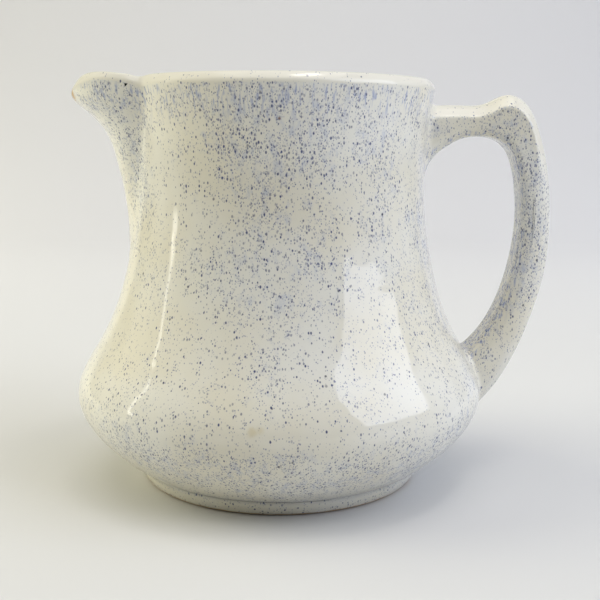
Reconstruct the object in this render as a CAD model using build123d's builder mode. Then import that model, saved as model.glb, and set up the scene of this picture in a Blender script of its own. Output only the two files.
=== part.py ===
from build123d import *

import os
from math import hypot, sqrt

# A stoneware pitcher, thrown and luted: a low wide belly, a waisted neck, a beaked spout and an
# ear handle. Millimetres. The origin is the centre of the foot ring on the resting plane, +Z is
# up, the spout points along -X and the handle along +X. Both sides of the XZ plane are alike.

# ---- Driving dimensions ----

# Vessel: radii and heights of the points that its outline passes through
FOOT_HEIGHT = 6.7            # the groove between the foot ring and the bowl
CREASE_RADIUS = 60.8
BOWL_POINT = (73.4, 16.5)    # the flat cone between the groove and the belly
BELLY_RADIUS = 84.9          # the widest point
BELLY_HEIGHT = 36.5
FLANK_POINT = (75.3, 58.5)   # the straight flank above the belly
SHOULDER_POINT = (62.9, 93.0)
WAIST_RADIUS = 59.4
WAIST_HEIGHT = 122.0
RIM_RADIUS = 63.0
RIM_EDGE_HEIGHT = 161.8      # the rim's outer edge, where its bevel starts
RIM_HEIGHT = 165.0
RIM_CREST_RADIUS = 60.2      # where the bevel reaches the top
RIM_BEVEL_SAG = 0.6          # how far the bevel bulges

WALL = 5.4
FLOOR = 6.0
FLOOR_CORNER = 9.0           # the flat floor ends this far inside the wall's lowest inner point
FLOOR_CURVE = 6.0            # and that point stands at least this high above the floor
MOUTH_SLOPE = (0.2, 1.0)     # how the inner wall leans outwards where it ends
INNER_SPANS = 9              # the inner outline is fitted through one point more than this
ABOVE_RIM = 10.0             # cutting solids run this far past the rim
HALVINGS = 24                # halvings of the outline, enough to find a radius exactly

# Foot ring
FOOT_RADIUS = 57.0           # at the resting plane
FOOT_INNER_RADIUS = 49.0
FOOT_EDGE = 1.0              # rounding of the resting edge

# Spout: height, reach from the axis, half width where it leaves the neck, and fullness, which is the
# half width at the middle point of its side as a part of that
SPOUT_STATIONS = (
    (90.0, 62.2, 5.0, 0.62),
    (97.0, 63.1, 10.5, 0.64),
    (106.0, 63.3, 15.5, 0.68),
    (118.0, 64.5, 19.5, 0.76),
    (124.0, 65.5, 21.3, 0.80),
    (131.0, 67.0, 23.3, 0.84),
    (140.0, 69.7, 26.5, 0.84),
    (147.0, 73.9, 29.5, 0.84),
    (152.0, 79.4, 31.5, 0.84),
    (156.0, 84.2, 33.5, 0.84),
    (161.0, 86.0, 35.0, 0.84),
    (172.0, 86.4, 36.0, 0.84),
)
SPOUT_WALL = 4.4
CHANNEL_SILL = 124.0         # the wall of the neck is whole below this height
SPOUT_BACK = 36.0            # the spout's blanks start here, inside the neck
SPOUT_WAIST = 0.45           # place of the side's middle point, from root to nose
SPOUT_BACK_WIDTH = 1.1       # half width at the back, as a part of the half width at the root
LIP_OUTLINE = (              # x and z along the top of the lip, from inside the neck to past the tip
    (-34.0, 165.0),
    (-60.0, 165.3),
    (-70.0, 166.2),
    (-78.0, 165.0),
    (-83.2, 161.4),
    (-86.0, 157.4),
    (-92.0, 140.0),
)

# Handle: inner x, inner z, outer x, outer z and width; each section stands between two points
HANDLE_STATIONS = (
    (50.0, 131.5, 50.0, 155.2, 23.0),
    (63.0, 135.4, 62.0, 155.4, 20.5),
    (73.5, 141.6, 73.0, 155.6, 19.0),
    (83.0, 142.8, 84.5, 156.5, 18.5),
    (89.5, 141.4, 93.2, 159.9, 19.0),
    (94.0, 138.0, 100.3, 157.1, 19.5),
    (97.0, 132.0, 106.0, 147.8, 19.0),
    (99.0, 122.5, 111.1, 130.0, 18.5),
    (99.9, 109.0, 113.2, 109.0, 18.0),
    (98.2, 92.5, 112.3, 89.0, 18.0),
    (93.8, 76.0, 108.0, 70.8, 18.5),
    (86.2, 61.0, 100.9, 52.2, 20.0),
    (76.0, 50.5, 90.9, 35.7, 23.0),
    (61.0, 43.5, 72.5, 20.0, 25.0),
)
HANDLE_BEVEL = 5.0           # depth of the two facets along the outer side
HANDLE_CREST = 0.42          # width of the crest between the facets, as a part of the width
HANDLE_EDGE = 2.4            # rounding of the section's corners

# Luting slip in the corners: how far it reaches out along each of the two pieces that it joins
SPOUT_LUTE = 5.0
HANDLE_LUTE = 2.6
SLIP_ROOT = 1.5              # the wedge of slip starts this far inside the joint
SLIP_FEATHER = 0.3           # its two thin edges end this far inside the pieces
SLIP_DEPTH = 1.5             # and it is this deep in the corner


# ---- Vessel ----

def inset_points(outline, distance, spans):
    """Points at one distance inside an outline that runs upwards."""
    points = []
    for step in range(spans + 1):
        place = outline.position_at(step / spans)
        along = outline.tangent_at(step / spans)
        points.append((place.X - distance * along.Y, place.Y + distance * along.X))
    return points


def turned_solid(outline, top):
    """The filled solid that an outline and the line on top of it make when they go round the axis."""
    with BuildPart() as turned:
        with BuildSketch(Plane.XZ):
            with BuildLine():
                Line((0, (outline @ 0).Y), outline @ 0)
                add(outline)
                add(top)
                Line(top @ 1, (0, (top @ 1).Y))
                Line((0, (top @ 1).Y), (0, (outline @ 0).Y))
            make_face()
        revolve(axis=Axis.Z)
    return turned.part


def upright_from(point):
    """A vertical line from the end of an outline to well above the rim."""
    return Line(point, (point.X, RIM_HEIGHT + ABOVE_RIM))


# The outer side of the wall, from the groove above the foot ring to the rim's edge
wall_outline = Spline(
    (CREASE_RADIUS, FOOT_HEIGHT),
    BOWL_POINT,
    (BELLY_RADIUS, BELLY_HEIGHT),
    FLANK_POINT,
    SHOULDER_POINT,
    (WAIST_RADIUS, WAIST_HEIGHT),
    (RIM_RADIUS, RIM_EDGE_HEIGHT),
)

# The filled outer form, upright above the rim's edge. The spout and the handle are cut to fit it.
vessel_form = turned_solid(wall_outline, upright_from(wall_outline @ 1))


def grown_vessel(distance):
    """The outer form made thicker all round, which limits how far slip reaches from the wall."""
    outline = Spline(*inset_points(wall_outline, -distance, INNER_SPANS))
    return turned_solid(outline, upright_from(outline @ 1))


# The space for the drink, which runs on upwards past the rim
floor_height = FOOT_HEIGHT + FLOOR
curve_height = floor_height + FLOOR_CURVE
inner_points = [p for p in inset_points(wall_outline, WALL, INNER_SPANS) if p[1] > curve_height]
floor_edge = (inner_points[0][0] - FLOOR_CORNER, floor_height)
mouth_edge = (inner_points[-1][0], RIM_HEIGHT + ABOVE_RIM)
with BuildPart() as hollow:
    with BuildSketch(Plane.XZ):
        with BuildLine():
            Line((0, floor_height), floor_edge)
            Spline(floor_edge, *inner_points, tangents=((1, 0), MOUTH_SLOPE))
            Line(inner_points[-1], mouth_edge)
            Line(mouth_edge, (0, mouth_edge[1]))
            Line((0, mouth_edge[1]), (0, floor_height))
        make_face()
    revolve(axis=Axis.Z)


# ---- Spout ----

def wall_radius(height):
    """The radius of the vessel's outline at a height."""
    low, high = 0.0, 1.0
    for _ in range(HALVINGS):
        middle = (low + high) / 2
        if wall_outline.position_at(middle).Y < height:
            low = middle
        else:
            high = middle
    return wall_outline.position_at(low).X


def side_points(height, reach, half_width, fullness):
    """Where the spout's section leaves the wall and the middle point of its side, both with y > 0."""
    root = (-sqrt(wall_radius(height) ** 2 - half_width ** 2), half_width)
    middle = (root[0] + SPOUT_WAIST * (-reach - root[0]), fullness * half_width)
    return root, middle


def spout_blank(stations):
    """A loft up the stations: a nose at each reach and sides that run back, through the neck's wall."""
    with BuildPart() as blank:
        for height, reach, half_width, fullness in stations:
            root, middle = side_points(height, reach, half_width, fullness)
            back = (-SPOUT_BACK, SPOUT_BACK_WIDTH * half_width)
            near_side = [(x, -y) for x, y in (back, root, middle)]
            with BuildSketch(Plane.XY.offset(height)):
                with BuildLine():
                    Spline(*near_side, (-reach, 0), middle, root, back)
                    Line(back, near_side[0])
                make_face()
        loft()
    return blank.part


def channel_stations():
    """The stations of the spout's channel, one wall in from the keel and from both sides."""
    inner = []
    for before, here, after in zip(SPOUT_STATIONS, SPOUT_STATIONS[1:], SPOUT_STATIONS[2:]):
        height, reach, half_width, fullness = here
        rise = after[0] - before[0]
        run = after[1] - before[1]
        slant = hypot(rise, run)
        if height >= CHANNEL_SILL:
            inner.append((
                height + SPOUT_WALL * run / slant,
                reach - SPOUT_WALL * rise / slant,
                half_width - SPOUT_WALL,
                fullness,
            ))
    height, reach, half_width, fullness = SPOUT_STATIONS[-1]
    inner.append((height + ABOVE_RIM, reach - SPOUT_WALL, half_width - SPOUT_WALL, fullness))
    return inner


channel = spout_blank(channel_stations())

# All that lies above the lip
with BuildPart() as above_lip:
    with BuildSketch(Plane.XZ):
        with BuildLine():
            lip_line = Spline(*LIP_OUTLINE)
            Polyline(
                lip_line @ 1,
                ((lip_line @ 1).X, RIM_HEIGHT + 2 * ABOVE_RIM),
                ((lip_line @ 0).X, RIM_HEIGHT + 2 * ABOVE_RIM),
                lip_line @ 0,
            )
        make_face()
    extrude(amount=RIM_RADIUS, both=True)

with BuildPart() as spout:
    add(spout_blank(SPOUT_STATIONS))
    add(above_lip.part, mode=Mode.SUBTRACT)
    spout_solid = spout.part
    add(vessel_form, mode=Mode.SUBTRACT)
    add(channel, mode=Mode.SUBTRACT)

# The slip in the corner on each side: a wedge from inside the joint to its reach on both pieces
with BuildPart() as spout_lute:
    for height, reach, half_width, fullness in SPOUT_STATIONS:
        if CHANNEL_SILL <= height < RIM_EDGE_HEIGHT:
            root, middle = side_points(height, reach, half_width, fullness)
            on_wall, _ = side_points(height, reach, half_width + SPOUT_LUTE, fullness)
            rise = 1 + SLIP_DEPTH / hypot(*root)
            share = SPOUT_LUTE / hypot(middle[0] - root[0], middle[1] - root[1])
            on_spout = (root[0] + share * (middle[0] - root[0]), root[1] + share * (middle[1] - root[1]))
            with BuildSketch(Plane.XY.offset(height)):
                with BuildLine():
                    Polyline(
                        (root[0] + SLIP_ROOT, root[1] - SLIP_ROOT),
                        (on_wall[0] + SLIP_FEATHER, on_wall[1]),
                        (root[0] * rise, root[1] * rise),
                        (on_spout[0], on_spout[1] - SLIP_FEATHER),
                        close=True,
                    )
                make_face()
    loft()
    mirror(about=Plane.XZ)
    add(vessel_form, mode=Mode.SUBTRACT)
    add(spout_solid, mode=Mode.SUBTRACT)


# ---- Body and foot ring ----

rim_bevel = SagittaArc(wall_outline @ 1, (RIM_CREST_RADIUS, RIM_HEIGHT), RIM_BEVEL_SAG)
with BuildPart() as body:
    add(turned_solid(wall_outline, rim_bevel))
    add(hollow.part, mode=Mode.SUBTRACT)
    add(channel, mode=Mode.SUBTRACT)

with BuildPart() as foot_ring:
    with BuildSketch(Plane.XZ):
        with BuildLine():
            Polyline(
                (FOOT_INNER_RADIUS, 0),
                (FOOT_RADIUS, 0),
                (CREASE_RADIUS, FOOT_HEIGHT),
                (FOOT_INNER_RADIUS, FOOT_HEIGHT),
                close=True,
            )
        foot_face = make_face()
        fillet(foot_face.vertices().group_by(Axis.Y)[0], FOOT_EDGE)
    revolve(axis=Axis.Z)


# ---- Handle ----

def handle_blank(growth):
    """A loft along the stations, with both ends inside the vessel; growth makes it thicker all round."""
    with BuildPart() as blank:
        for inner_x, inner_z, outer_x, outer_z, width in HANDLE_STATIONS:
            half_depth = hypot(outer_x - inner_x, outer_z - inner_z) / 2 + growth
            half_width = width / 2 + growth
            outwards = Vector(outer_x - inner_x, 0, outer_z - inner_z).normalized()
            middle = ((inner_x + outer_x) / 2, 0, (inner_z + outer_z) / 2)
            with BuildSketch(Plane(middle, x_dir=(0, 1, 0), z_dir=Vector(0, 1, 0).cross(outwards))):
                with BuildLine():
                    Polyline(
                        (-half_width, -half_depth),
                        (half_width, -half_depth),
                        (half_width, half_depth - HANDLE_BEVEL),
                        (half_width * HANDLE_CREST, half_depth),
                        (-half_width * HANDLE_CREST, half_depth),
                        (-half_width, half_depth - HANDLE_BEVEL),
                        close=True,
                    )
                grip_face = make_face()
                fillet(grip_face.vertices(), HANDLE_EDGE)
        loft()
    return blank.part


handle_solid = handle_blank(0)
with BuildPart() as handle:
    add(handle_solid)
    add(vessel_form, mode=Mode.SUBTRACT)

with BuildPart() as handle_slip:
    add(handle_blank(HANDLE_LUTE))
    add(grown_vessel(HANDLE_LUTE), mode=Mode.INTERSECT)
    add(vessel_form, mode=Mode.SUBTRACT)
    add(handle_solid, mode=Mode.SUBTRACT)
lower_slip, upper_slip = handle_slip.part.solids().sort_by(Axis.Z)
with BuildPart() as handle_lower_lute:
    add(lower_slip)
with BuildPart() as handle_upper_lute:
    add(upper_slip)


# ---- Export ----

sub_parts = {
    "body": body,
    "foot_ring": foot_ring,
    "spout": spout,
    "spout_lute": spout_lute,
    "handle": handle,
    "handle_upper_lute": handle_upper_lute,
    "handle_lower_lute": handle_lower_lute,
}
os.makedirs("parts", exist_ok=True)
for name, sub_part in sub_parts.items():
    sub_part.part.label = name
    export_step(sub_part.part, f"parts/{name}.step")
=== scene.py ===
from math import cos, pi, radians, sin

import bmesh
import bpy
import numpy as np
from mathutils import Matrix, Vector


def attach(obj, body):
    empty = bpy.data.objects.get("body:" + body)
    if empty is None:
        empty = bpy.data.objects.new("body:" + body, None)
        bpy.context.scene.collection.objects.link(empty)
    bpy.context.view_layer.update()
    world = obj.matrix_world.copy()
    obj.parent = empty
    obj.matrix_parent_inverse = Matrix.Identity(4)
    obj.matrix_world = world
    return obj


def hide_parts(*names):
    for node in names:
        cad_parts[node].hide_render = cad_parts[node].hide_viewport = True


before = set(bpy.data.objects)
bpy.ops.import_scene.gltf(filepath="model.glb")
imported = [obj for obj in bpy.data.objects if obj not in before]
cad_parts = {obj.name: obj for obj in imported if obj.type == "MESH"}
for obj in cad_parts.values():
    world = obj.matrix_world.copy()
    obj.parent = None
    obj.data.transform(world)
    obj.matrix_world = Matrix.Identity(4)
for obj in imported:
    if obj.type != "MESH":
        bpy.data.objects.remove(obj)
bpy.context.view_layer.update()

# The speckled ceramic pitcher: seven glazed pieces in the CAD frame, each in place of one CAD node.
# The spout points along -X and the handle along +X. The shapes and the glaze are in millimetres, the
# studio is in metres. Angles round the vessel are radians from -X.

MM = 0.001

# ---- Shape, as in the CAD part ----

FOOT_HEIGHT = 6.7
BELLY_RADIUS = 84.9
BOX_MARGIN = 0.02            # the belly stays this far inside the CAD box
WALL_OUTLINE = (             # radius and height
    (60.8, FOOT_HEIGHT),
    (73.4, 16.5),
    (BELLY_RADIUS, 36.5),
    (75.3, 58.5),
    (62.9, 93.0),
    (59.4, 122.0),
    (63.0, 161.8),
)
RIM_HEIGHT = 165.0
WALL = 5.4
FLOOR_HEIGHT = 12.7
FLOOR_CORNER = (             # radius and height where the floor curves up into the wall
    (59.5, FLOOR_HEIGHT),
    (65.1, 14.3),
    (67.6, 16.9),
)
INNER_WALL_START = 8.0       # above the floor
FOOT_INNER_RADIUS = 49.0

# Height, reach from the axis, half width where it leaves the neck, and fullness of the side
SPOUT_STATIONS = (
    (90.0, 62.2, 5.0, 0.62),
    (97.0, 63.1, 10.5, 0.64),
    (106.0, 63.3, 15.5, 0.68),
    (118.0, 64.5, 19.5, 0.76),
    (124.0, 65.5, 21.3, 0.80),
    (131.0, 67.0, 23.3, 0.84),
    (140.0, 69.7, 26.5, 0.84),
    (147.0, 73.9, 29.5, 0.84),
    (152.0, 79.4, 31.5, 0.84),
    (156.0, 84.2, 33.5, 0.84),
    (161.0, 86.0, 35.0, 0.84),
    (172.0, 86.4, 36.0, 0.84),
)
SPOUT_FOOT = 94.0            # the spout's piece starts here
SPOUT_WALL = 4.4
SPOUT_BACK = 36.0
SPOUT_BACK_WIDTH = 1.1
SPOUT_WAIST = 0.45
CHANNEL_TOP = 182.0
THROAT = (112.0, 132.0)      # the inside opens into the spout between these heights
CREASE_HEIGHTS = (90.0, 128.0)
CREASE_SOFTNESS = 1.0        # of the corner between spout and neck, at the lower of these heights
CREASE_SOFTENING = 1.8       # and how much softer it is from the upper one on
CHANNEL_SOFTNESS = 6.0
BLANK_FALL = 30.0            # how fast the spout's section sinks into the neck past its root
LIP_OUTLINE = (              # x and z along the top of the lip
    (-34.0, 165.0),
    (-60.0, 165.3),
    (-70.0, 166.2),
    (-78.0, 165.0),
    (-83.2, 161.4),
    (-86.0, 157.4),
    (-92.0, 140.0),
)
RISE_START = -50.0           # the rim rises a little from here to the lip's start
LIP_START = -60.0
LIP_RISE = 0.3
LIP_DIP = 1.0                # a dip where the spout leaves the rim
LIP_DIP_X = -53.5
LIP_DIP_WIDTH = 3.2

HANDLE_STATIONS = (          # inner x, inner z, outer x, outer z, width
    (50.0, 131.5, 50.0, 155.2, 23.0),
    (63.0, 135.4, 62.0, 155.4, 20.5),
    (73.5, 141.6, 73.0, 155.6, 19.0),
    (83.0, 142.8, 84.5, 156.5, 18.5),
    (89.5, 141.4, 93.2, 159.9, 19.0),
    (94.0, 138.0, 100.3, 157.1, 19.5),
    (97.0, 132.0, 106.0, 147.8, 19.0),
    (99.0, 122.5, 111.1, 130.0, 18.5),
    (99.9, 109.0, 113.2, 109.0, 18.0),
    (98.2, 92.5, 112.3, 89.0, 18.0),
    (93.8, 76.0, 108.0, 70.8, 18.5),
    (86.2, 61.0, 100.9, 52.2, 20.0),
    (76.0, 50.5, 90.9, 35.7, 23.0),
    (61.0, 43.5, 72.5, 20.0, 25.0),
)
HANDLE_BEVEL = 5.0
HANDLE_CREST = 0.42

# How many points each curve is read at
OUTLINE_SAMPLES = 1200
CORNER_SAMPLES = 40
LIP_SAMPLES = 400
SECTION_SAMPLES = 160
HANDLE_SAMPLES = 900
TABLE_HEIGHTS = np.linspace(90.0, 170.0, 201)
TABLE_ANGLES = np.linspace(0.0, 1.2, 241)


# ---- Curves ----

def spline(points, places=None):
    """A smooth curve through points, as a function of place, which is chord length if none is given."""
    points = np.asarray(points, float)
    if places is None:
        steps = np.linalg.norm(np.diff(points, axis=0), axis=1)
        places = np.concatenate([[0.0], np.cumsum(steps)])
    places = np.asarray(places, float)
    count = len(places)
    spans = np.diff(places)
    rows = np.zeros((count, count))
    goals = np.zeros_like(points)
    for k, near in ((0, range(4)), (count - 1, range(count - 4, count))):
        rows[k, k] = 1.0         # an end's slope is that of the cubic through the nearest four points
        for i in near:
            others = [j for j in near if j != i]
            slope = 0.0
            for j in others:
                slope += np.prod([places[k] - places[m] for m in others if m != j])
            goals[k] += points[i] * slope / np.prod([places[i] - places[j] for j in others])
    for i in range(1, count - 1):
        before, after = spans[i - 1], spans[i]
        step_in, step_out = points[i] - points[i - 1], points[i + 1] - points[i]
        rows[i, i - 1:i + 2] = after, 2 * (before + after), before
        goals[i] = 3 * (after * step_in / before + before * step_out / after)
    slopes = np.linalg.solve(rows, goals)

    def curve(place):
        place = np.clip(np.asarray(place, float), places[0], places[-1])
        span = np.clip(np.searchsorted(places, place, side="right") - 1, 0, count - 2)
        width = spans[span]
        t = (place - places[span]) / width
        if points.ndim > 1:
            width, t = width[..., None], t[..., None]
        start, end = points[span], points[span + 1]
        return (
            (2 * t ** 3 - 3 * t ** 2 + 1) * start
            + (t ** 3 - 2 * t ** 2 + t) * width * slopes[span]
            + (3 * t ** 2 - 2 * t ** 3) * end
            + (t ** 3 - t ** 2) * width * slopes[span + 1]
        )

    curve.length = places[-1]
    return curve


def sampled(curve, count):
    return curve(np.linspace(0, curve.length, count))


def smoothstep(low, high, value):
    share = np.clip((np.asarray(value, float) - low) / (high - low), 0, 1)
    return share * share * (3 - 2 * share)


def soft_max(a, b, softness):
    near = np.maximum(softness - np.abs(a - b), 0) / softness
    return np.maximum(a, b) + near * near * softness / 4


outline_points = sampled(spline(WALL_OUTLINE), OUTLINE_SAMPLES)
outline_slopes = np.gradient(outline_points, axis=0)
outline_slopes /= np.linalg.norm(outline_slopes, axis=1)[:, None]
outline_points[:, 0] = np.minimum(outline_points[:, 0], BELLY_RADIUS - BOX_MARGIN)

inner_line = outline_points + WALL * np.stack([-outline_slopes[:, 1], outline_slopes[:, 0]], axis=1)
inner_line = inner_line[inner_line[:, 1] > FLOOR_HEIGHT + INNER_WALL_START]
corner_points = sampled(spline([*FLOOR_CORNER, tuple(inner_line[0])]), CORNER_SAMPLES)
cavity_line = np.concatenate([corner_points[:-1], inner_line])


def wall_radius(height):
    return np.interp(height, outline_points[:, 1], outline_points[:, 0])


def cavity_radius(height):
    return np.interp(height, cavity_line[:, 1], cavity_line[:, 0])


def by_height(stations, value):
    """One of the stations' values as a smooth function of height."""
    return spline([s[value] for s in stations], [s[0] for s in stations])


spout_reach, spout_half_width, spout_fullness = (by_height(SPOUT_STATIONS, k) for k in (1, 2, 3))

channel_stations = []
for before, here, after in zip(SPOUT_STATIONS, SPOUT_STATIONS[1:], SPOUT_STATIONS[2:]):
    slant = np.hypot(after[0] - before[0], after[1] - before[1])
    channel_stations.append((
        here[0] + SPOUT_WALL * (after[1] - before[1]) / slant,
        here[1] - SPOUT_WALL * (after[0] - before[0]) / slant,
        here[2] - SPOUT_WALL,
    ))
channel_stations.append((CHANNEL_TOP, *(value - SPOUT_WALL for value in SPOUT_STATIONS[-1][1:3])))
channel_reach, channel_half_width = (by_height(channel_stations, k) for k in (1, 2))
lip_points = sampled(spline(LIP_OUTLINE), LIP_SAMPLES)


def lip_height(x):
    """The height of the top of the lip and rim at x."""
    on_rim = RIM_HEIGHT + LIP_RISE * smoothstep(-RISE_START, -LIP_START, -x)
    top = np.where(x > LIP_START, on_rim, np.interp(-x, -lip_points[:, 0], lip_points[:, 1]))
    return top - LIP_DIP * np.exp(-((x - LIP_DIP_X) / LIP_DIP_WIDTH) ** 2)


def section_radius(angles, height, reach, half_width, fullness):
    """The spout's section at a height as a radius at each angle."""
    root_x = -np.sqrt(wall_radius(height) ** 2 - half_width ** 2)
    middle_x = root_x + SPOUT_WAIST * (-reach - root_x)
    side = [
        (-SPOUT_BACK, SPOUT_BACK_WIDTH * half_width),
        (root_x, half_width),
        (middle_x, fullness * half_width),
    ]
    curve = spline(side + [(-reach, 0.0)] + [(x, -y) for x, y in reversed(side)])
    points = curve(np.linspace(curve.length / 2, 0, SECTION_SAMPLES))
    angle = np.arctan2(points[:, 1], -points[:, 0])
    radius = np.hypot(points[:, 0], points[:, 1])
    past_back = angles - angle[-1]
    return np.where(past_back > 0, radius[-1] - BLANK_FALL * past_back, np.interp(angles, angle, radius))


def radius_table(wall, reach, half_width, softness, share):
    """The radius of a surface with the spout in it, at each height and angle of the table."""
    table = []
    for height in TABLE_HEIGHTS:
        plain = np.full_like(TABLE_ANGLES, wall(height))
        section = [float(value(height)) for value in (reach, half_width, spout_fullness)]
        blank = section_radius(TABLE_ANGLES, height, *section)
        table.append(plain + (soft_max(plain, blank, softness(height)) - plain) * share(height))
    return np.array(table)


def looked_up(table, wall, angles, heights):
    """The radius at each angle and height, from the table near the spout and from the wall elsewhere."""
    angles = np.abs(angles)
    heights = heights * np.ones_like(angles)
    row_height = TABLE_HEIGHTS[1] - TABLE_HEIGHTS[0]
    row = np.clip((heights - TABLE_HEIGHTS[0]) / row_height, 0, len(TABLE_HEIGHTS) - 1.001)
    column = np.clip(angles / TABLE_ANGLES[1], 0, len(TABLE_ANGLES) - 1.001)
    i, j = row.astype(int), column.astype(int)
    u, v = row - i, column - j
    below = table[i, j] * (1 - v) + table[i, j + 1] * v
    above = table[i + 1, j] * (1 - v) + table[i + 1, j + 1] * v
    near = (heights >= TABLE_HEIGHTS[0]) & (angles <= TABLE_ANGLES[-1])
    return np.where(near, below * (1 - u) + above * u, wall(heights))


def crease_softness(height):
    return CREASE_SOFTNESS + CREASE_SOFTENING * smoothstep(*CREASE_HEIGHTS, height)


outer_table = radius_table(wall_radius, spout_reach, spout_half_width, crease_softness, lambda height: 1.0)
inner_table = radius_table(cavity_radius, channel_reach, channel_half_width,
                           lambda height: CHANNEL_SOFTNESS, lambda height: smoothstep(*THROAT, height))


def outer_radius(angles, heights):
    """The radius of the outer surface, with the spout grown out of the neck."""
    return looked_up(outer_table, wall_radius, angles, heights)


def inner_radius(angles, heights):
    """The radius of the inner surface, which opens into the spout's channel."""
    return looked_up(inner_table, cavity_radius, angles, heights)


# ---- Meshes ----

def grid_normals(points, wrap_rows=False):
    """Unit normals of a grid of points (rows, columns, 3) whose columns go round."""
    across = np.roll(points, -1, axis=1) - np.roll(points, 1, axis=1)
    if wrap_rows:
        along = np.roll(points, -1, axis=0) - np.roll(points, 1, axis=0)
    else:
        along = np.gradient(points, axis=0)
    normals = np.cross(across, along)
    lengths = np.linalg.norm(normals, axis=2)[..., None]
    return normals / np.maximum(lengths, 1e-9)


def turned_out(normals, points, row, column, centre=0.0):
    """The normals, all turned round if the one at a row and column points towards the centre."""
    if normals[row, column] @ (points[row, column] - centre) < 0:
        return -normals
    return normals


def make_piece(name, points, faces, normals, marks, node):
    """A closed mesh object from points in millimetres, with its normals and its point attributes."""
    used = sorted({i for face in faces for i in face})
    place = {old: new for new, old in enumerate(used)}
    mesh = bpy.data.meshes.new(name)
    mesh.from_pydata([tuple(points[i] * MM) for i in used], [], [tuple(place[i] for i in f) for f in faces])
    work = bmesh.new()
    work.from_mesh(mesh)
    bmesh.ops.recalc_face_normals(work, faces=work.faces)
    work.to_mesh(mesh)
    work.free()
    mesh.shade_smooth()
    for mark, values in marks.items():
        attribute = mesh.attributes.new(mark, "FLOAT", "POINT")
        attribute.data.foreach_set("value", [float(values[i]) for i in used])
    mesh.normals_split_custom_set_from_vertices([tuple(normals[i]) for i in used])
    piece = bpy.data.objects.new(name, mesh)
    bpy.context.scene.collection.objects.link(piece)
    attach(piece, "root")
    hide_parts(node)
    return piece


def cells(rows, columns, index):
    """Quads of a grid whose columns go round; index(row, column) gives a point's number."""
    return [
        (index(j, i), index(j, (i + 1) % columns), index(j + 1, (i + 1) % columns), index(j + 1, i))
        for j in range(rows - 1) for i in range(columns)
    ]


# ---- The vessel's surface: one grid for the body, the spout and the slip between them ----

SPOUT_COLUMNS = 26           # on each side of the spout's middle
SLIP_COLUMNS = 5             # on each side of the root line
BODY_COLUMNS = 84            # from the slip to the middle of the handle's side
BODY_BUNCHING = 1.12         # they stand closer together near the spout
COLUMNS_TOP = 163.0          # above this height the columns keep their angles
SIDE_ROWS = 46
SLIP_REACH = 5.0
SLIP_SHARE = 0.42            # but the slip reaches no further than this part of the root line's angle
SLIP_DEPTH = 1.3
SLIP_FOOT = 99.0             # the slip starts here
SLIP_FADE = 5                # it gets its full depth over a fifth of its height from each end
EDGE_ROUND = 1.1             # rounding of the rim's outer edge
ROUND_STEPS = (0.2, 0.4, 0.6, 0.8)
RIM_EDGE_DROP = 3.2          # how far the rim's outer edge lies below its top
LIP_EDGE_DROP = 2.4
TIP_EDGE_DROP = 1.0
LIP_EDGE_ANGLES = (0.50, 0.62)   # the drop changes between these angles
TIP_EDGE_ANGLES = (0.03, 0.30)
EDGE_SEARCH = (150.0, 166.0)     # the rim's outer edge lies between these heights
EDGE_HALVINGS = 22
INNER_EDGE_DROP = 1.9
CREST = 0.50                 # the top of the rim, as a part of the wall's thickness from outside
INNER_CREST = 0.62
BEVEL_BULGE = 1.35           # exponents of the slopes on both sides of the crest
INNER_BULGE = 2.4
RIM_SHARES = (0.11, 0.2, 0.3, 0.4, 0.48, 0.56, 0.64, 0.74, 0.83, 0.91, 0.96, 1.0)
UNDER_RADII = (0.6, 8.0, 20.0, 34.0, 46.0, FOOT_INNER_RADIUS, 56.0)
FLOOR_RADII = (56.0, 46.0, 34.0, 20.0, 8.0, 0.6)
BOWL_TOP = 28.7              # where rows of one spacing end and those of the next begin
BELLY_TOP = 46.0
BOWL_BUNCHING = 1.3
CAVITY_BELLY_TOP = 44.0
CAVITY_FOOT = 18.0
CORNER_TOP = 17.6
CORNER_STEP = 4              # every fourth sample of the floor's corner is a row


def column_angles(height):
    """The angle of each column at a height, round to the same place."""
    level = np.clip(height, SPOUT_FOOT, COLUMNS_TOP)
    radius = float(wall_radius(level))
    root = np.arcsin(float(spout_half_width(level)) / radius)
    slip = min(SLIP_REACH / radius, SLIP_SHARE * root)
    spout_side = np.linspace(0, root - slip, SPOUT_COLUMNS, endpoint=False)
    in_slip = np.linspace(root - slip, root + slip, 2 * SLIP_COLUMNS, endpoint=False)
    round_back = np.linspace(0, 1, BODY_COLUMNS + 1) ** BODY_BUNCHING
    body_side = root + slip + (pi - root - slip) * round_back
    half = np.concatenate([spout_side, in_slip, body_side])
    return np.concatenate([half, -half[-2:0:-1]])


rim_angles = column_angles(RIM_HEIGHT)
columns = len(rim_angles)
root_column = SPOUT_COLUMNS + SLIP_COLUMNS
half_columns = SPOUT_COLUMNS + 2 * SLIP_COLUMNS + BODY_COLUMNS


def surface_point(angles, radii, heights):
    heights = heights * np.ones_like(angles)
    return np.stack([-radii * np.cos(angles), radii * np.sin(angles), heights], axis=-1)


def rim_edge(angles):
    """The height of the rim's outer edge for each column, found by halving, and its drop from the top."""
    spoutward = 1 - smoothstep(*LIP_EDGE_ANGLES, np.abs(angles))
    at_tip = 1 - smoothstep(*TIP_EDGE_ANGLES, np.abs(angles))
    drop = RIM_EDGE_DROP + (LIP_EDGE_DROP - RIM_EDGE_DROP) * spoutward
    drop = drop + (TIP_EDGE_DROP - drop) * at_tip
    low, high = (np.full_like(angles, height) for height in EDGE_SEARCH)
    for _ in range(EDGE_HALVINGS):
        middle = (low + high) / 2
        radii = outer_radius(angles, middle)
        above = middle > lip_height(-radii * np.cos(angles)) - drop
        high = np.where(above, middle, high)
        low = np.where(above, low, middle)
    return (low + high) / 2, drop


edge_z, edge_drop = rim_edge(rim_angles)
edge_r = outer_radius(rim_angles, edge_z)
inside_r = inner_radius(rim_angles, edge_z)


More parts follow.
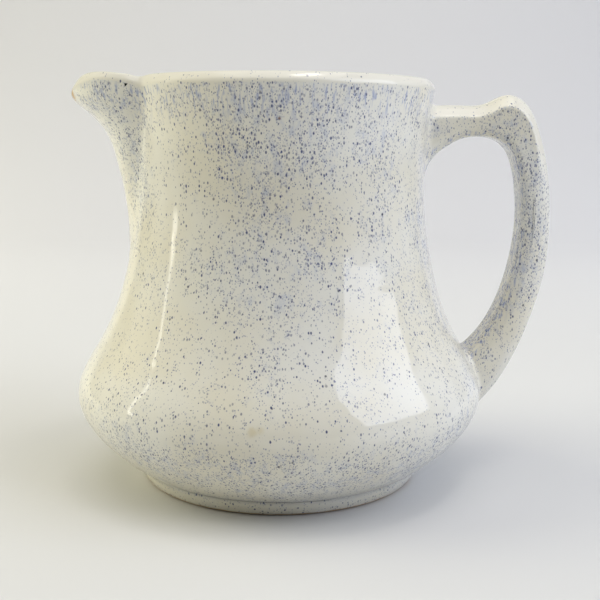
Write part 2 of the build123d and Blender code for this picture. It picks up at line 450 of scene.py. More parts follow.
def side_row(share, inside=False):
    """A row between the spout's foot and the rim's edge, outside or inside."""
    heights = SPOUT_FOOT + (edge_z - EDGE_ROUND - SPOUT_FOOT) * share
    angles = np.array([column_angles(heights[i])[i] for i in range(columns)])
    radii = inner_radius(angles, heights) if inside else outer_radius(angles, heights)
    return surface_point(angles, radii, heights)


def level_row(height, radius):
    """A row all round at one height and radius."""
    return surface_point(column_angles(height), np.full(columns, radius), height)


def rim_row(share):
    """A row along the top of the rim, share of the way from its outer to its inner side."""
    radii = edge_r + (inside_r - edge_r) * share
    top = lip_height(-radii * np.cos(rim_angles))
    if share < CREST:
        top = top - edge_drop * (1 - share / CREST) ** BEVEL_BULGE
    if share > INNER_CREST:
        top = top - INNER_EDGE_DROP * ((share - INNER_CREST) / (1 - INNER_CREST)) ** INNER_BULGE
    return surface_point(rim_angles, radii, top)


side_shares = np.linspace(0, 1, SIDE_ROWS)
outside_rows = [side_row(s) for s in side_shares]
top_rows = [rim_row(s) for s in RIM_SHARES]
edge_point = surface_point(rim_angles, edge_r, edge_z)
round_rows = [
    (1 - t) ** 2 * outside_rows[-1] + 2 * t * (1 - t) * edge_point + t * t * top_rows[0]
    for t in ROUND_STEPS
]
inside_rows = [side_row(s, inside=True) for s in side_shares[::-1]]
strip = outside_rows + round_rows + top_rows + inside_rows

bowl_heights = np.concatenate([
    FOOT_HEIGHT + np.linspace(0, 1, 22, endpoint=False) ** BOWL_BUNCHING * (BOWL_TOP - FOOT_HEIGHT),
    np.linspace(BOWL_TOP, BELLY_TOP, 26, endpoint=False),
    np.linspace(BELLY_TOP, SPOUT_FOOT, 34, endpoint=False),
])
cavity_heights = np.concatenate([
    np.linspace(SPOUT_FOOT, CAVITY_BELLY_TOP, 30)[1:],
    np.linspace(CAVITY_BELLY_TOP, CAVITY_FOOT, 20)[1:],
])
under = [level_row(FOOT_HEIGHT, r) for r in UNDER_RADII]
below_outside = [level_row(z, wall_radius(z)) for z in bowl_heights]
below_inside = [level_row(z, cavity_radius(z)) for z in cavity_heights]
corner_rows = [level_row(z, r) for r, z in corner_points[::-CORNER_STEP] if z < CORNER_TOP]
floor_rows = [level_row(FLOOR_HEIGHT, r) for r in FLOOR_RADII]

surface = np.array(under + below_outside + strip + below_inside + corner_rows + floor_rows)
row_count = len(surface)
first = len(under) + len(below_outside)
last = first + len(strip) - 1
surface_normals = turned_out(grid_normals(surface), surface, first - 10, half_columns // 2)
surface_normals[:len(under)] = (0, 0, -1)
surface_normals[-len(floor_rows):] = (0, 0, 1)

# The underside of the slip, which the body and the spout follow below it
slip_rows = [first + k for k, row in enumerate(outside_rows) if row[root_column][2] > SLIP_FOOT]
slip_low, slip_high = slip_rows[0], slip_rows[-1]
sunk = surface.copy()
for side in (1, -1):
    for step in range(-SLIP_COLUMNS, SLIP_COLUMNS + 1):
        column = (side * (root_column + step)) % columns
        across = cos(0.5 * pi * step / SLIP_COLUMNS) ** 2
        for row in range(slip_low, slip_high + 1):
            up = (row - slip_low) / (slip_high - slip_low)
            depth = SLIP_DEPTH * across * min(1, SLIP_FADE * up, SLIP_FADE * (1 - up))
            sunk[row, column] -= depth * surface_normals[row, column]


# ---- What the glaze does at each point: how dense its speckles are, where it runs thin (partly painted light) and where it pools (partly painted shade) ----

PATCHES = (                  # azimuth from -Y in degrees, height, spread in degrees, spread in mm, amount
    (-6, 142, 26, 24, 0.85),
    (14, 118, 20, 30, 0.40),
    (-14, 108, 12, 20, 0.34),
    (24, 146, 16, 16, 0.30),
    (-4, 76, 12, 16, 0.46),
    (-24, 150, 10, 12, 0.34),
    (0, 22, 44, 10, 0.90),
    (-36, 30, 16, 9, 0.42),
    (44, 26, 18, 10, 0.55),
    (46, 122, 12, 30, 0.20),
    (66, 120, 14, 44, 0.40),
    (88, 128, 16, 36, 0.60),
    (80, 70, 12, 30, 0.45),
    (70, 30, 20, 16, 0.40),
    (-66, 136, 9, 34, 0.50),
    (-90, 140, 20, 30, 0.55),
    (-60, 28, 18, 10, 0.30),
    (180, 130, 44, 32, 0.50),
    (150, 70, 30, 22, 0.35),
    (-140, 90, 30, 30, 0.40),
    (-160, 30, 40, 12, 0.50),
    (120, 28, 30, 12, 0.42),
)
SPECKLE_EVERYWHERE = 0.30
SPECKLE_INSIDE = 0.45
INSIDE_PATCHES = 0.3         # the patches' strength inside
SPECKLE_ON_FOOT = 0.9        # as a part of the vessel's
THIN_EDGE = 0.6              # how thin the glaze is on the rows beside the rim's bare ones
RUN_START = (0.2, 2.0)       # below the rim's edge, the runs begin and end between these depths
RUN_END = (5.0, 17.0)
# The pool band is glaze pooled in the groove over the foot and partly painted shade in that crease
POOL_AND_SHADE_HEIGHT = 1.6            # glaze pools this far above the groove over the foot, and below it
FOOT_POOL_AND_SHADE_HEIGHT = 1.0


def speckle_density(points):
    """How dense the speckles are at each point, from soft patches round the vessel."""
    azimuth = np.degrees(np.arctan2(points[..., 0], -points[..., 1]))
    density = np.full(points.shape[:-1], SPECKLE_EVERYWHERE)
    for at, height, wide, tall, amount in PATCHES:
        apart = (azimuth - at + 180) % 360 - 180
        density = density + amount * np.exp(-(apart / wide) ** 2 - ((points[..., 2] - height) / tall) ** 2)
    return density


round_start = first + len(outside_rows)
inside_start = round_start + len(round_rows) + len(top_rows)
density = speckle_density(surface)
density[inside_start:] = SPECKLE_INSIDE + INSIDE_PATCHES * (density[inside_start:] - SPECKLE_EVERYWHERE)
# The rim's rounded edge is paler where the glaze breaks thin over it, and partly painted light where it faces
# up
thin_and_lit = np.zeros(surface.shape[:2])
thin_and_lit[round_start:inside_start] = THIN_EDGE
thin_and_lit[round_start + 1:inside_start - 3] = 1.0
below_edge = edge_z[None, :] - surface[first:round_start, :, 2]
streak = np.zeros(surface.shape[:2])
streak[first:round_start] = smoothstep(*RUN_START, below_edge) * (1 - smoothstep(*RUN_END, below_edge))
# Pooled glaze and painted shade: a darker band along the groove over the foot
pool_and_shade = np.exp(-((surface[..., 2] - FOOT_HEIGHT) / POOL_AND_SHADE_HEIGHT) ** 2)
pool_and_shade[round_start:] = 0.0

flat_surface = surface.reshape(-1, 3)
flat_sunk = sunk.reshape(-1, 3)
flat_normals = surface_normals.reshape(-1, 3)
vessel_marks = {
    "speckle": density.reshape(-1),
    "thin_and_lit": thin_and_lit.reshape(-1),
    "streak": streak.reshape(-1),
    "pool_and_shade": pool_and_shade.reshape(-1),
}


def grid_index(row, column):
    return row * columns + column % columns


def on_spout(row, column):
    """Whether the cell at a row and column belongs to the spout."""
    offset = (column + columns // 2) % columns - columns // 2
    return first <= row < last and -root_column <= offset < root_column


body_faces, spout_faces = [], []
for number, face in enumerate(cells(row_count, columns, grid_index)):
    (spout_faces if on_spout(*divmod(number, columns)) else body_faces).append(face)

# Where the spout leaves the body, both are closed by the same faces: two walls and a sill
joint_faces = []
for side in (-root_column, root_column):
    for step in range(len(strip) // 2 - 1):      # the strip has an even number of rows
        low, high = first + step, last - step
        joint_faces.append(tuple(grid_index(row, side) for row in (low, low + 1, high - 1, high)))
for column in range(-root_column, root_column):
    joint_faces.append((grid_index(first, column), grid_index(first, column + 1),
                        grid_index(last, column + 1), grid_index(last, column)))

centres = np.array([(0, 0, FOOT_HEIGHT), (0, 0, FLOOR_HEIGHT)], float)
body_points = np.concatenate([flat_sunk, centres])
body_normals = np.concatenate([flat_normals, [(0, 0, -1), (0, 0, 1)]])
body_marks = {mark: np.concatenate([values, values[[0, -1]]]) for mark, values in vessel_marks.items()}
under_centre, floor_centre = len(flat_sunk), len(flat_sunk) + 1
end_row = row_count - 1
for column in range(columns):
    body_faces.append((under_centre, grid_index(0, column + 1), grid_index(0, column)))
    body_faces.append((floor_centre, grid_index(end_row, column), grid_index(end_row, column + 1)))

body = make_piece("glazed_body", body_points, body_faces + joint_faces, body_normals, body_marks,
                  "body")
spout = make_piece("glazed_spout", flat_sunk, spout_faces + joint_faces, flat_normals, vessel_marks,
                   "spout")

# The slip: its top is the vessel's surface and its underside the sunk one, and they share their borders
slip_faces = []
for side in (1, -1):
    def slip_index(row, step, lower):
        number = grid_index(row, side * (root_column + step))
        on_border = row in (slip_low, slip_high) or abs(step) == SLIP_COLUMNS
        return number + (len(flat_surface) if lower and not on_border else 0)

    for row in range(slip_low, slip_high):
        for step in range(-SLIP_COLUMNS, SLIP_COLUMNS):
            for lower in (False, True):
                corners = ((row, step), (row, step + 1), (row + 1, step + 1), (row + 1, step))
                slip_faces.append(tuple(slip_index(r, s, lower) for r, s in corners))
slip_points = np.concatenate([flat_surface, flat_sunk])
slip_normals = np.concatenate([flat_normals, -flat_normals])
slip_marks = {mark: np.concatenate([values, values]) for mark, values in vessel_marks.items()}
spout_slip = make_piece("spout_slip", slip_points, slip_faces, slip_normals, slip_marks,
                        "spout_lute")


# ---- Foot ring ----

FOOT_OUTLINE = (             # radius and height round the ring's section, from the groove outwards and down
    (56.0, 6.7), (60.2, 6.68), (60.55, 6.4), (60.5, 5.9), (60.1, 4.8), (59.3, 3.2), (58.5, 1.9), (57.9, 1.0),
    (57.3, 0.42), (56.5, 0.1), (55.6, 0.0), (53.0, 0.0), (50.6, 0.0), (49.7, 0.12), (49.2, 0.5), (49.0, 1.1),
    (49.0, 3.4), (49.0, 6.0), (49.0, 6.7), (52.0, 6.7),
)
FOOT_OUTER_ROW = 5
FOOT_COLUMNS = 200
turn = np.linspace(0, 2 * pi, FOOT_COLUMNS, endpoint=False)
foot_grid = np.array([
    np.stack([r * np.cos(turn), r * np.sin(turn), np.full(FOOT_COLUMNS, z)], axis=-1)
    for r, z in FOOT_OUTLINE
])
foot_normals = turned_out(grid_normals(foot_grid, wrap_rows=True), foot_grid, FOOT_OUTER_ROW, 0)
foot_faces = cells(len(FOOT_OUTLINE) + 1, FOOT_COLUMNS,
                   lambda row, column: row % len(FOOT_OUTLINE) * FOOT_COLUMNS + column)
flat_foot = foot_grid.reshape(-1, 3)
foot_marks = {
    "speckle": speckle_density(flat_foot) * SPECKLE_ON_FOOT,
    "thin_and_lit": np.zeros(len(flat_foot)),
    "streak": np.zeros(len(flat_foot)),
    # painted shade with pooled glaze, along the groove at the foot's top
    "pool_and_shade": np.exp(-((flat_foot[:, 2] - FOOT_HEIGHT) / FOOT_POOL_AND_SHADE_HEIGHT) ** 2),
}
foot = make_piece("turned_foot", flat_foot, foot_faces, foot_normals.reshape(-1, 3), foot_marks,
                  "foot_ring")


# ---- Handle ----

INNER_CORNER = 5.2           # how far the rounding of each kind of corner reaches along its sides
RIDGE_CORNER = 1.1           # the edge between side and facet, on the arm
GRIP_CORNER = 3.9            # the same edge on the grip
CREST_CORNER = 2.6
CORNER_POINTS = 6
BETWEEN_CORNERS = (0.33, 0.67)
ARM_HEIGHTS = (112.0, 148.0)     # that edge grows crisp between these heights
HANDLE_REACH = 113.24        # the handle stays inside this x, and so inside the CAD box
GRIP_HALVES = (9.2, 7.2)     # half width and half depth at the middle of the grip
HANDLE_RINGS = 150
FILLET_RINGS = 9
FLARE_SIDES = (-1.0, -0.3, 0.3, 1.0)     # how far each side of the section faces outwards
FLARE_EVENING = 3            # passes
FLARE_SINK = 0.12            # the flare's edge lies this far under the wall's surface

handle_curve = spline(HANDLE_STATIONS)


def unit(vector):
    return vector / np.linalg.norm(vector)


def handle_section(half_width, half_depth, ridge_corner=RIDGE_CORNER):
    """The section's points, across and outwards, with each corner rounded."""
    crest = half_width * HANDLE_CREST
    corners = (
        (half_width, -half_depth, INNER_CORNER),
        (half_width, half_depth - HANDLE_BEVEL, ridge_corner),
        (crest, half_depth, CREST_CORNER),
        (-crest, half_depth, CREST_CORNER),
        (-half_width, half_depth - HANDLE_BEVEL, ridge_corner),
        (-half_width, -half_depth, INNER_CORNER),
    )
    points = []
    for k, (x, y, reach) in enumerate(corners):
        *next_place, next_reach = corners[(k + 1) % len(corners)]
        before, here, after = (np.array(place) for place in (corners[k - 1][:2], (x, y), next_place))
        to_after = unit(after - here)
        start, end = here + reach * unit(before - here), here + reach * to_after
        for t in np.linspace(0, 1, CORNER_POINTS):
            points.append((1 - t) ** 2 * start + 2 * t * (1 - t) * here + t * t * end)
        next_start = after - to_after * next_reach
        for t in BETWEEN_CORNERS:
            points.append(end + (next_start - end) * t)
    return np.array(points)


def handle_ring(place):
    """One ring of the handle's surface."""
    inner_x, inner_z, outer_x, outer_z, width = handle_curve(place)
    outwards = np.array((outer_x - inner_x, 0, outer_z - inner_z))
    depth = np.linalg.norm(outwards)
    outwards /= depth
    middle = np.array(((inner_x + outer_x) / 2, 0, (inner_z + outer_z) / 2))
    on_arm = smoothstep(*ARM_HEIGHTS, outer_z)
    section = handle_section(width / 2, depth / 2, GRIP_CORNER + (RIDGE_CORNER - GRIP_CORNER) * on_arm)
    ring = middle + section[:, :1] * np.array((0, 1.0, 0)) + section[:, 1:] * outwards
    ring[:, 0] = np.minimum(ring[:, 0], HANDLE_REACH)
    return ring


def wall_normal(point):
    radius = np.hypot(point[0], point[1])
    slope = (wall_radius(point[2] + 0.2) - wall_radius(point[2] - 0.2)) / 0.4
    return unit(np.array((point[0] / radius, point[1] / radius, -slope)))


rings = np.array([handle_ring(p) for p in np.linspace(0, handle_curve.length, HANDLE_SAMPLES)])
ring_step = handle_curve.length / (HANDLE_SAMPLES - 1)
middle_ring = HANDLE_SAMPLES // 2
section_points = rings.shape[1]
section_normals = turned_out(grid_normals(rings), rings, middle_ring, 0, rings[middle_ring].mean(axis=0))

# The first ring from each end that stands outside the vessel's wall, for each column of points
outside_wall = np.hypot(rings[..., 0], rings[..., 1]) > wall_radius(rings[..., 2])
upper_cut = np.argmax(outside_wall[:middle_ring], axis=0)
lower_cut = HANDLE_SAMPLES - 1 - np.argmax(outside_wall[:middle_ring:-1], axis=0)
grip_section = handle_section(*GRIP_HALVES)
facing = grip_section[:, 1] / np.abs(grip_section[:, 1]).max()


def line_at(column, place):
    """The handle's surface along one column at a place between its samples."""
    place = np.clip(place, 0, HANDLE_SAMPLES - 1.001)
    low = int(place)
    return rings[low, column] + (rings[low + 1, column] - rings[low, column]) * (place - low)


def round_section(inner, flank, outer):
    """A value for each column of points that goes smoothly from the section's inner to its outer side."""
    values = np.interp(facing, FLARE_SIDES, (inner, flank, flank, outer))
    for _ in range(FLARE_EVENING):
        values = (np.roll(values, 1) + 2 * values + np.roll(values, -1)) / 4
    return values


def flare(cut, direction, along, on_wall):
    """Rings from the vessel's wall to the handle, along a fillet; and where each column's fillet ends.

    along and on_wall are the fillet's reaches on the handle and on the wall, each at its inner side,
    its flanks and its outer side.
    """
    spread = round_section(*on_wall)
    ends = cut + direction * round_section(*along) / ring_step
    corners, starts, finishes = [], [], []
    for i in range(section_points):
        corner = rings[cut[i], i]
        normal = wall_normal(corner)
        away = section_normals[cut[i], i]
        away = away - (away @ normal) * normal
        away /= np.linalg.norm(away)
        start = corner + spread[i] * away
        start[:2] *= (wall_radius(start[2]) - FLARE_SINK) / np.hypot(start[0], start[1])
        corners.append(corner)
        starts.append(start)
        finishes.append(line_at(i, ends[i]))
    corners, starts, finishes = np.array(corners), np.array(starts), np.array(finishes)
    flare_rings = [
        (1 - t) ** 2 * starts + 2 * t * (1 - t) * corners + t * t * finishes
        for t in np.linspace(0, 1, FILLET_RINGS)
    ]
    return flare_rings, ends


upper_rings, upper_ends = flare(upper_cut, 1, along=(13.0, 4.0, 4.5), on_wall=(10.0, 3.5, 3.0))
lower_rings, lower_ends = flare(lower_cut, -1, along=(4.0, 3.0, 14.0), on_wall=(4.0, 3.0, 15.0))
middle_rings = []
for share in np.linspace(0, 1, HANDLE_RINGS)[1:-1]:
    ring_places = upper_ends + (lower_ends - upper_ends) * share
    middle_rings.append(np.array([line_at(i, ring_places[i]) for i in range(section_points)]))
tube = np.array(upper_rings + middle_rings + lower_rings[::-1])
tube_middle = len(tube) // 2
tube_normals = turned_out(grid_normals(tube), tube, tube_middle, 0, tube[tube_middle].mean(axis=0))
for end in (0, -1):
    tube_normals[end] = [wall_normal(p) for p in tube[end]]

# Glaze on the handle: it runs thin on the facets and the crest between them, more so on the arm, where the
# paler colour is also painted light:
# the overhead light on the arm's top and the window's reflection down the outer side. It streaks along the
# inner side; the speckles crowd on the grip and on the inner side
tube_z = tube[..., 2]
on_facet = smoothstep(0.28, 0.42, facing)[None, :]
on_inner_side = smoothstep(0.50, 0.95, -facing)[None, :]
in_streaks = smoothstep(0.40, 0.90, -facing)[None, :]
on_grip = smoothstep(60.0, 85.0, tube_z) * (1 - smoothstep(124.0, 140.0, tube_z))
on_root = 1 - smoothstep(40.0, 75.0, tube_z)
tube_speckle = 0.66 - 0.10 * on_facet + 0.40 * on_inner_side - 0.22 * on_root
tube_marks = {
    "speckle": tube_speckle + 0.42 * on_grip * (1 - on_facet),
    "thin_and_lit": on_facet * (0.15 + 0.85 * smoothstep(118.0, 140.0, tube_z)),
    "streak": np.broadcast_to(1.3 * in_streaks, tube_z.shape),
    "pool_and_shade": np.zeros(tube_z.shape),
}


def tube_piece(name, low, high, node):
    """Rings low to high of the handle's tube as a closed piece, with a cap at each end."""
    part = tube[low:high + 1]
    last_row = len(part) - 1
    first_centre = len(part) * section_points
    faces = cells(len(part), section_points, lambda row, column: row * section_points + column)
    for i in range(section_points):
        k = (i + 1) % section_points
        faces.append((first_centre, k, i))
        faces.append((first_centre + 1, last_row * section_points + i, last_row * section_points + k))
    centres = [part[row].mean(axis=0) for row in (0, 1, -2, -1)]
    points = np.concatenate([part.reshape(-1, 3), [centres[0], centres[-1]]])
    end_normals = [unit(centres[0] - centres[1]), unit(centres[-1] - centres[-2])]
    normals = np.concatenate([tube_normals[low:high + 1].reshape(-1, 3), end_normals])
    marks = {}
    for mark, values in tube_marks.items():
        flat = values[low:high + 1].reshape(-1)
        marks[mark] = np.concatenate([flat, flat[[0, -1]]])
    return make_piece(name, points, faces, normals, marks, node)


last_ring = len(tube) - 1
upper_end, lower_end = FILLET_RINGS - 1, last_ring - FILLET_RINGS + 1
handle_slip_upper = tube_piece("handle_slip_upper", 0, upper_end, "handle_upper_lute")
handle = tube_piece("glazed_handle", upper_end, lower_end, "handle")
handle_slip_lower = tube_piece("handle_slip_lower", lower_end, last_ring, "handle_lower_lute")


# ---- Materials ----

class Nodes:
    """Short calls for building a node tree."""

    def __init__(self, tree):
        self.tree = tree

    def put(self, socket, value):
        if isinstance(value, bpy.types.NodeSocket):
            self.tree.links.new(value, socket)
        else:
            socket.default_value = value

    def add(self, kind, inputs=(), **settings):
        node = self.tree.nodes.new(kind)
        for name, value in settings.items():
            setattr(node, name, value)
        for key, value in dict(inputs).items():
            self.put(node.inputs[key], value)
        return node

    def math(self, operation, a, b):
        return self.add("ShaderNodeMath", {0: a, 1: b}, operation=operation).outputs[0]

    def times(self, a, b):
        return self.math("MULTIPLY", a, b)

    def ramp(self, value, low, high, out_low=0.0, out_high=1.0, shape="SMOOTHSTEP"):
        inputs = {"Value": value, "From Min": low, "From Max": high, "To Min": out_low, "To Max": out_high}
        return self.add("ShaderNodeMapRange", inputs, interpolation_type=shape).outputs["Result"]

    def mix(self, share, a, b):
        return self.add("ShaderNodeMix", {0: share, 6: a, 7: b}, data_type="RGBA").outputs[2]

    def mark(self, name):
        return self.add("ShaderNodeAttribute", attribute_name=name).outputs["Fac"]

    def stretched(self, position, scale, shift=(0.0, 0.0, 0.0)):
        inputs = {"Vector": position, "Scale": scale, "Location": shift}
        return self.add("ShaderNodeMapping", inputs).outputs["Vector"]

    def noise(self, position, scale, detail=2.0, roughness=0.5):
        inputs = {"Vector": position, "Scale": scale, "Detail": detail, "Roughness": roughness}
        return self.add("ShaderNodeTexNoise", inputs).outputs[0]

    def dots(self, position, scale, keep, inner, outer):
        """Soft round dots: one in each Voronoi cell whose random number is under keep."""
        voronoi = self.add("ShaderNodeTexVoronoi", {"Vector": position, "Scale": scale, "Randomness": 1.0})
        parts = self.add("ShaderNodeSeparateColor", {"Color": voronoi.outputs["Color"]})
        shown = self.math("LESS_THAN", parts.outputs[0], keep)
        size = self.ramp(parts.outputs[1], 0.0, 1.0, *DOT_SIZES)
        distance = self.math("DIVIDE", voronoi.outputs["Distance"], size)
        dot = self.ramp(distance, inner, outer, 1.0, 0.0)
        strength = self.ramp(parts.outputs[2], 0.0, 1.0, *DOT_STRENGTHS)
        return self.times(self.times(dot, shown), strength)


class Coat(Nodes):
    """A new material and its node tree."""

    def __init__(self, name):
        self.material = bpy.data.materials.new(name)
        self.material.use_nodes = True
        super().__init__(self.material.node_tree)
        self.surface = self.tree.nodes["Principled BSDF"]


def colour(red, green, blue):
    """A colour from 0-255 screen values."""
    linear = [((c / 255 + 0.055) / 1.055) ** 2.4 if c > 10 else c / 255 / 12.92 for c in (red, green, blue)]
    return (*linear, 1.0)


CREAM = colour(228, 224, 207)
CREAM_PALE = colour(232, 231, 222)
# paler cream for thin glaze; on the handle's facets it is also painted light
CREAM_THIN_AND_LIT = colour(234, 231, 217)
BLUE_HAZE = colour(158, 172, 204)
RUN_BLUE = colour(122, 140, 190)
SPECKLE_BLUE = colour(68, 84, 140)
SPECKLE_DARK = colour(28, 36, 70)
# darker blue for the groove over the foot: pooled glaze, partly painted shade
POOL_AND_SHADE_BLUE = colour(112, 122, 148)
RUST = colour(98, 48, 22)
TAN = colour(176, 142, 92)
STRAW = colour(200, 182, 124)
CLAY = colour(170, 132, 92)
CLAY_PALE = colour(202, 178, 140)
PAPER = (colour(209, 210, 209), colour(213, 213, 213))
# The far paper and the backdrop are painted paler than the near floor: painted light
PAPER_FAR_PAINTED_LIGHT = colour(230, 230, 232)

# A rust spot, a straw smear and a tan chip: place, radius, softness, amount and colour
MARKS = (
    ((-0.9, -61.4, 148.5), 0.95, 0.6, 1.0, RUST),
    ((-9.8, -84.0, 41.4), 2.6, 0.9, 0.34, STRAW),
    ((-7.4, -84.2, 42.2), 2.4, 0.9, 0.30, STRAW),
    ((-84.0, -10.5, 159.4), 5.2, 0.5, 1.0, TAN),
)
MARK_RAGGEDNESS = 1.6        # as a part of the mark's radius

# Speckles: cells per millimetre, dots per cell at full density, and the radii where a dot starts to fade
# and where it ends, as parts of a cell
FINE = (1.75, 0.80, 0.20, 0.52)
MEDIUM = (0.98, 0.95, 0.20, 0.45)
LARGE = (0.42, 0.18, 0.11, 0.26)
DOT_SIZES = (0.55, 1.15)     # the smallest and largest dot, and the weakest and strongest
DOT_STRENGTHS = (0.42, 1.0)
UNSTRETCHED = (1, 1, 1)
GLAZE_IOR = 1.52
WAVER, PEEL, PROUD = 0.55, 0.010, 0.012  # heights of the relief's three parts in millimetres


def glaze(name, on_foot=False):
    """Glossy cream glaze with cobalt speckles, blue haze where they crowd, runs, thin edges that are partly
    painted light, pooled glaze that is partly painted shade, and marks.
    """
    s = Coat(name)
    position = s.add("ShaderNodeTexCoord").outputs["Object"]
    place = s.stretched(position, (1000.0, 1000.0, 1000.0))     # in millimetres
    runny = s.stretched(position, (1000.0, 1000.0, 640.0))      # drawn out downwards
    runs = s.stretched(position, (1000.0, 1000.0, 130.0))
    speckle, thin_and_lit, streak, pool_and_shade = (s.mark(m) for m in ("speckle", "thin_and_lit", "streak", "pool_and_shade"))

    # How dense the speckles are here: the painted patches, broken up by cloudy noise
    small_clouds = s.noise(runny, 0.22, 3.0, 0.6)
    cloudy = s.times(s.ramp(s.noise(runny, 0.055, 3.0, 0.6), 0.30, 0.70, 0.45, 1.45),
                     s.ramp(small_clouds, 0.28, 0.72, 0.45, 1.5))
    density = s.times(s.times(speckle, cloudy), s.ramp(thin_and_lit, 0.0, 1.0, 1.0, 0.16))

    def speckles(where, kind):
        scale, keep, inner, outer = kind
        return s.dots(where, scale, s.times(density, keep), inner, outer)

    fine = speckles(runny, FINE)
    medium = speckles(s.stretched(runny, UNSTRETCHED, (13.7, 5.1, 9.2)), MEDIUM)
    large = speckles(s.stretched(place, UNSTRETCHED, (3.1, 17.9, 2.4)), LARGE)
    haze_noise = s.noise(s.stretched(runny, (1, 1, 0.9)), 0.36, 3.0, 0.65)
    haze = s.times(s.ramp(haze_noise, 0.42, 0.78), s.ramp(density, 0.25, 1.1))
    run = s.times(s.ramp(s.noise(runs, 0.85, 2.0, 0.6), 0.50, 0.68), streak)

    # The ground, cream and paler in soft areas, and over it each layer with its strength and colour
    colours = s.mix(s.ramp(s.noise(place, 0.022, 3.0, 0.55), 0.34, 0.68), CREAM, CREAM_PALE)
    for layer, strength, tint in (
        # thin glaze, paler; on the handle's facets and the rim's edge partly painted light
        (thin_and_lit, 0.8, CREAM_THIN_AND_LIT),
        (haze, 0.48, BLUE_HAZE),
        (run, 0.62, RUN_BLUE),
        (fine, 0.78, SPECKLE_BLUE),
        (medium, 0.95, s.mix(small_clouds, SPECKLE_DARK, SPECKLE_BLUE)),
        (large, 0.9, SPECKLE_DARK),
        # pooled glaze in the groove over the foot, partly painted shade
        (pool_and_shade, 0.32, POOL_AND_SHADE_BLUE),
    ):
        colours = s.mix(s.times(layer, strength), colours, tint)
    for middle, radius, soft, amount, tint in MARKS:
        apart = s.add("ShaderNodeVectorMath", {0: place, 1: middle}, operation="DISTANCE").outputs["Value"]
        ragged = s.times(s.math("SUBTRACT", small_clouds, 0.5), radius * MARK_RAGGEDNESS)
        spot = s.ramp(s.math("ADD", apart, ragged), radius * (1 - soft), radius, amount, 0.0)
        colours = s.mix(spot, colours, tint)

    if on_foot:              # bare clay where the foot was wiped
        height = s.add("ShaderNodeSeparateXYZ", {"Vector": place}).outputs[2]
        wavy = s.math("ADD", height, s.times(s.noise(place, 0.16), -1.1))
        bare = s.ramp(wavy, 0.05, 0.75, 1.0, 0.0)
        colours = s.mix(bare, colours, s.mix(s.noise(place, 0.9, 4.0), CLAY, CLAY_PALE))
        roughness = s.ramp(bare, 0.0, 1.0, 0.12, 0.75)
    else:
        wear = s.ramp(s.noise(place, 0.06, 4.0, 0.6), 0.35, 0.75, 0.045, 0.11)
        roughness = s.math("ADD", wear, s.times(fine, 0.05))
    s.put(s.surface.inputs["Base Color"], colours)
    s.put(s.surface.inputs["Roughness"], roughness)
    s.surface.inputs["IOR"].default_value = GLAZE_IOR

    # Relief: a slow waver from the wheel, a fine orange peel, and speckles that stand a little proud
    waver = s.times(s.noise(s.stretched(place, (1, 1, 1.6)), 0.035, 1.5), WAVER)
    peel = s.times(s.noise(place, 0.55, 2.0), PEEL)
    relief = s.math("ADD", s.math("ADD", waver, peel), s.times(medium, PROUD))
    bump = s.add("ShaderNodeBump", {"Height": relief, "Strength": 1.0, "Distance": MM})
    s.put(s.surface.inputs["Normal"], bump.outputs["Normal"])
    return s.material


body_glaze = glaze("speckled_glaze_coat")
foot_glaze = glaze("wiped_foot_glaze", on_foot=True)
for piece in (body, spout, spout_slip, handle, handle_slip_upper, handle_slip_lower):
    piece.data.materials.append(body_glaze)
foot.data.materials.append(foot_glaze)


# ---- Studio, in metres ----

FLOOR_HALF_WIDTH = 3.0
FLOOR_PROFILE = ((-1.6, 0.0), (-0.6, 0.0), (0.2, 0.0), (0.9, 0.0))  # y and z up to the bend
BEND_START = 0.9
BEND_RADIUS = 0.7
BEND_STEPS = 12
BACKDROP_PROFILE = ((1.6, 1.4), (1.6, 3.0))
PITCHER_MIDDLE = (0, 0, 0.08)

# Name, azimuth from -Y towards +X and elevation in degrees, distance, width, height, watts and colour;
# then whether it shows in reflections and what it faces, where these aren't True and the pitcher
LIGHTS = (
    ("window_right", 67, 31, 1.25, 1.00, 0.95, 8.9, (0.89, 0.93, 1.05)),
    ("strip_left", -87, 16, 1.25, 0.045, 0.46, 0.30, (1.0, 0.97, 0.84)),
    ("strip_foot", -85, 5, 1.25, 0.11, 0.09, 0.14, (1.0, 0.97, 0.84)),
    ("strip_head", -87, 42, 1.25, 0.05, 0.18, 0.13, (1.0, 0.97, 0.84)),
    ("fill_left", -84, 26, 1.25, 0.5, 1.0, 4.0, (1.0, 0.96, 0.74), False),
    ("side_left", -112, 20, 1.6, 1.1, 1.0, 12.4, (1.0, 0.955, 0.68), False),
    ("side_right", 115, 20, 1.6, 1.1, 1.0, 3.3, (0.80, 0.89, 1.12), False),
    ("overhead", 0, 76, 1.6, 1.6, 1.6, 11.8, (1.0, 0.97, 0.92)),
    ("ceiling_lamp", 48, 75, 1.3, 0.36, 0.16, 1.3, (1.0, 0.95, 0.86)),
    ("backdrop_wash", 20, 35, 1.1, 2.4, 0.8, 3.6, (0.95, 0.97, 1.06), True, (0.3, 1.55, 0.45)),
)


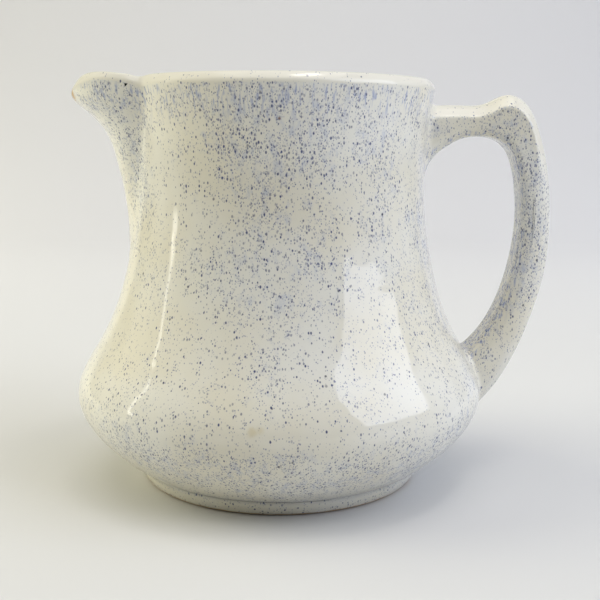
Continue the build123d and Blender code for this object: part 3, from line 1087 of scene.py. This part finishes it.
def sweep():
    """A pale paper floor that curves up into a backdrop, painted paler with distance as painted light."""
    profile = list(FLOOR_PROFILE)
    for k in range(BEND_STEPS + 1):
        angle = 0.5 * pi * k / BEND_STEPS
        profile.append((BEND_START + BEND_RADIUS * sin(angle), BEND_RADIUS * (1 - cos(angle))))
    profile += BACKDROP_PROFILE
    vertices = [(x, y, z) for y, z in profile for x in (-FLOOR_HALF_WIDTH, FLOOR_HALF_WIDTH)]
    faces = [(2 * k, 2 * k + 1, 2 * k + 3, 2 * k + 2) for k in range(len(profile) - 1)]
    mesh = bpy.data.meshes.new("studio_sweep")
    mesh.from_pydata(vertices, [], faces)
    mesh.shade_smooth()
    floor = bpy.data.objects.new("studio_sweep", mesh)
    bpy.context.scene.collection.objects.link(floor)
    s = Coat("pale_paper")
    position = s.add("ShaderNodeTexCoord").outputs["Object"]
    near = s.mix(s.noise(position, 1.2, 2.0), *PAPER)
    depth = s.add("ShaderNodeSeparateXYZ", {"Vector": position}).outputs[1]
    # painted light: the paper grows paler with distance, up into the backdrop
    s.put(s.surface.inputs["Base Color"], s.mix(s.ramp(depth, -0.1, 1.2), near, PAPER_FAR_PAINTED_LIGHT))
    s.surface.inputs["Roughness"].default_value = 0.85
    s.surface.inputs["Specular IOR Level"].default_value = 0.1
    mesh.materials.append(s.material)


def panel(name, azimuth, elevation, distance, width, height, power, tint, glossy=True, target=PITCHER_MIDDLE):
    """A soft rectangular light that faces its target."""
    light = bpy.data.lights.new(name, "AREA")
    light.shape = "RECTANGLE"
    light.size, light.size_y = width, height
    light.energy = power
    light.color = tint
    lamp = bpy.data.objects.new(name, light)
    a, e = radians(azimuth), radians(elevation)
    offset = Vector((sin(a) * cos(e), -cos(a) * cos(e), sin(e))) * distance
    lamp.location = Vector(target) + offset
    lamp.rotation_euler = (-offset).to_track_quat("-Z", "Y").to_euler()
    lamp.visible_glossy = glossy
    bpy.context.scene.collection.objects.link(lamp)


def room():
    """Even light from all round, weaker from the camera's side, and a little cooler on the right."""
    world = bpy.data.worlds.new("room")
    bpy.context.scene.world = world
    world.use_nodes = True
    s = Nodes(world.node_tree)
    background = s.tree.nodes["Background"]
    direction = s.add("ShaderNodeTexCoord").outputs["Generated"]
    parts = s.add("ShaderNodeSeparateXYZ", {"Vector": direction})
    strength = s.ramp(parts.outputs["Y"], -0.65, 0.6, 0.01, 0.59, "LINEAR")
    to_right = s.ramp(parts.outputs["X"], -1.0, 1.0, shape="LINEAR")
    s.put(background.inputs["Strength"], strength)
    s.put(background.inputs["Color"], s.mix(to_right, (1.0, 0.985, 0.95, 1.0), (0.96, 0.98, 1.06, 1.0)))


sweep()
for light_row in LIGHTS:
    panel(*light_row)
room()

# ---- Camera ----

CAMERA_PLACE = (-0.00133, -0.4032, 0.1422)
YAW, PITCH, ROLL = 0.0242, 0.1685, 0.0079
FOCAL = 57.54                # millimetres, as is the sensor's width
SENSOR_WIDTH = 36.0
forward = Vector((sin(YAW) * cos(PITCH), cos(YAW) * cos(PITCH), -sin(PITCH)))
level_right = Vector((cos(YAW), -sin(YAW), 0))
level_up = level_right.cross(forward)
right = cos(ROLL) * level_right + sin(ROLL) * level_up
up = -sin(ROLL) * level_right + cos(ROLL) * level_up
camera_data = bpy.data.cameras.new("camera")
camera_data.lens = FOCAL
camera_data.sensor_width = SENSOR_WIDTH
camera = bpy.data.objects.new("camera", camera_data)
turned = Matrix((right, up, -forward)).transposed().to_4x4()
camera.matrix_world = Matrix.Translation(CAMERA_PLACE) @ turned
bpy.context.scene.collection.objects.link(camera)
bpy.context.scene.camera = camera
bpy.context.scene.view_settings.view_transform = "Standard"
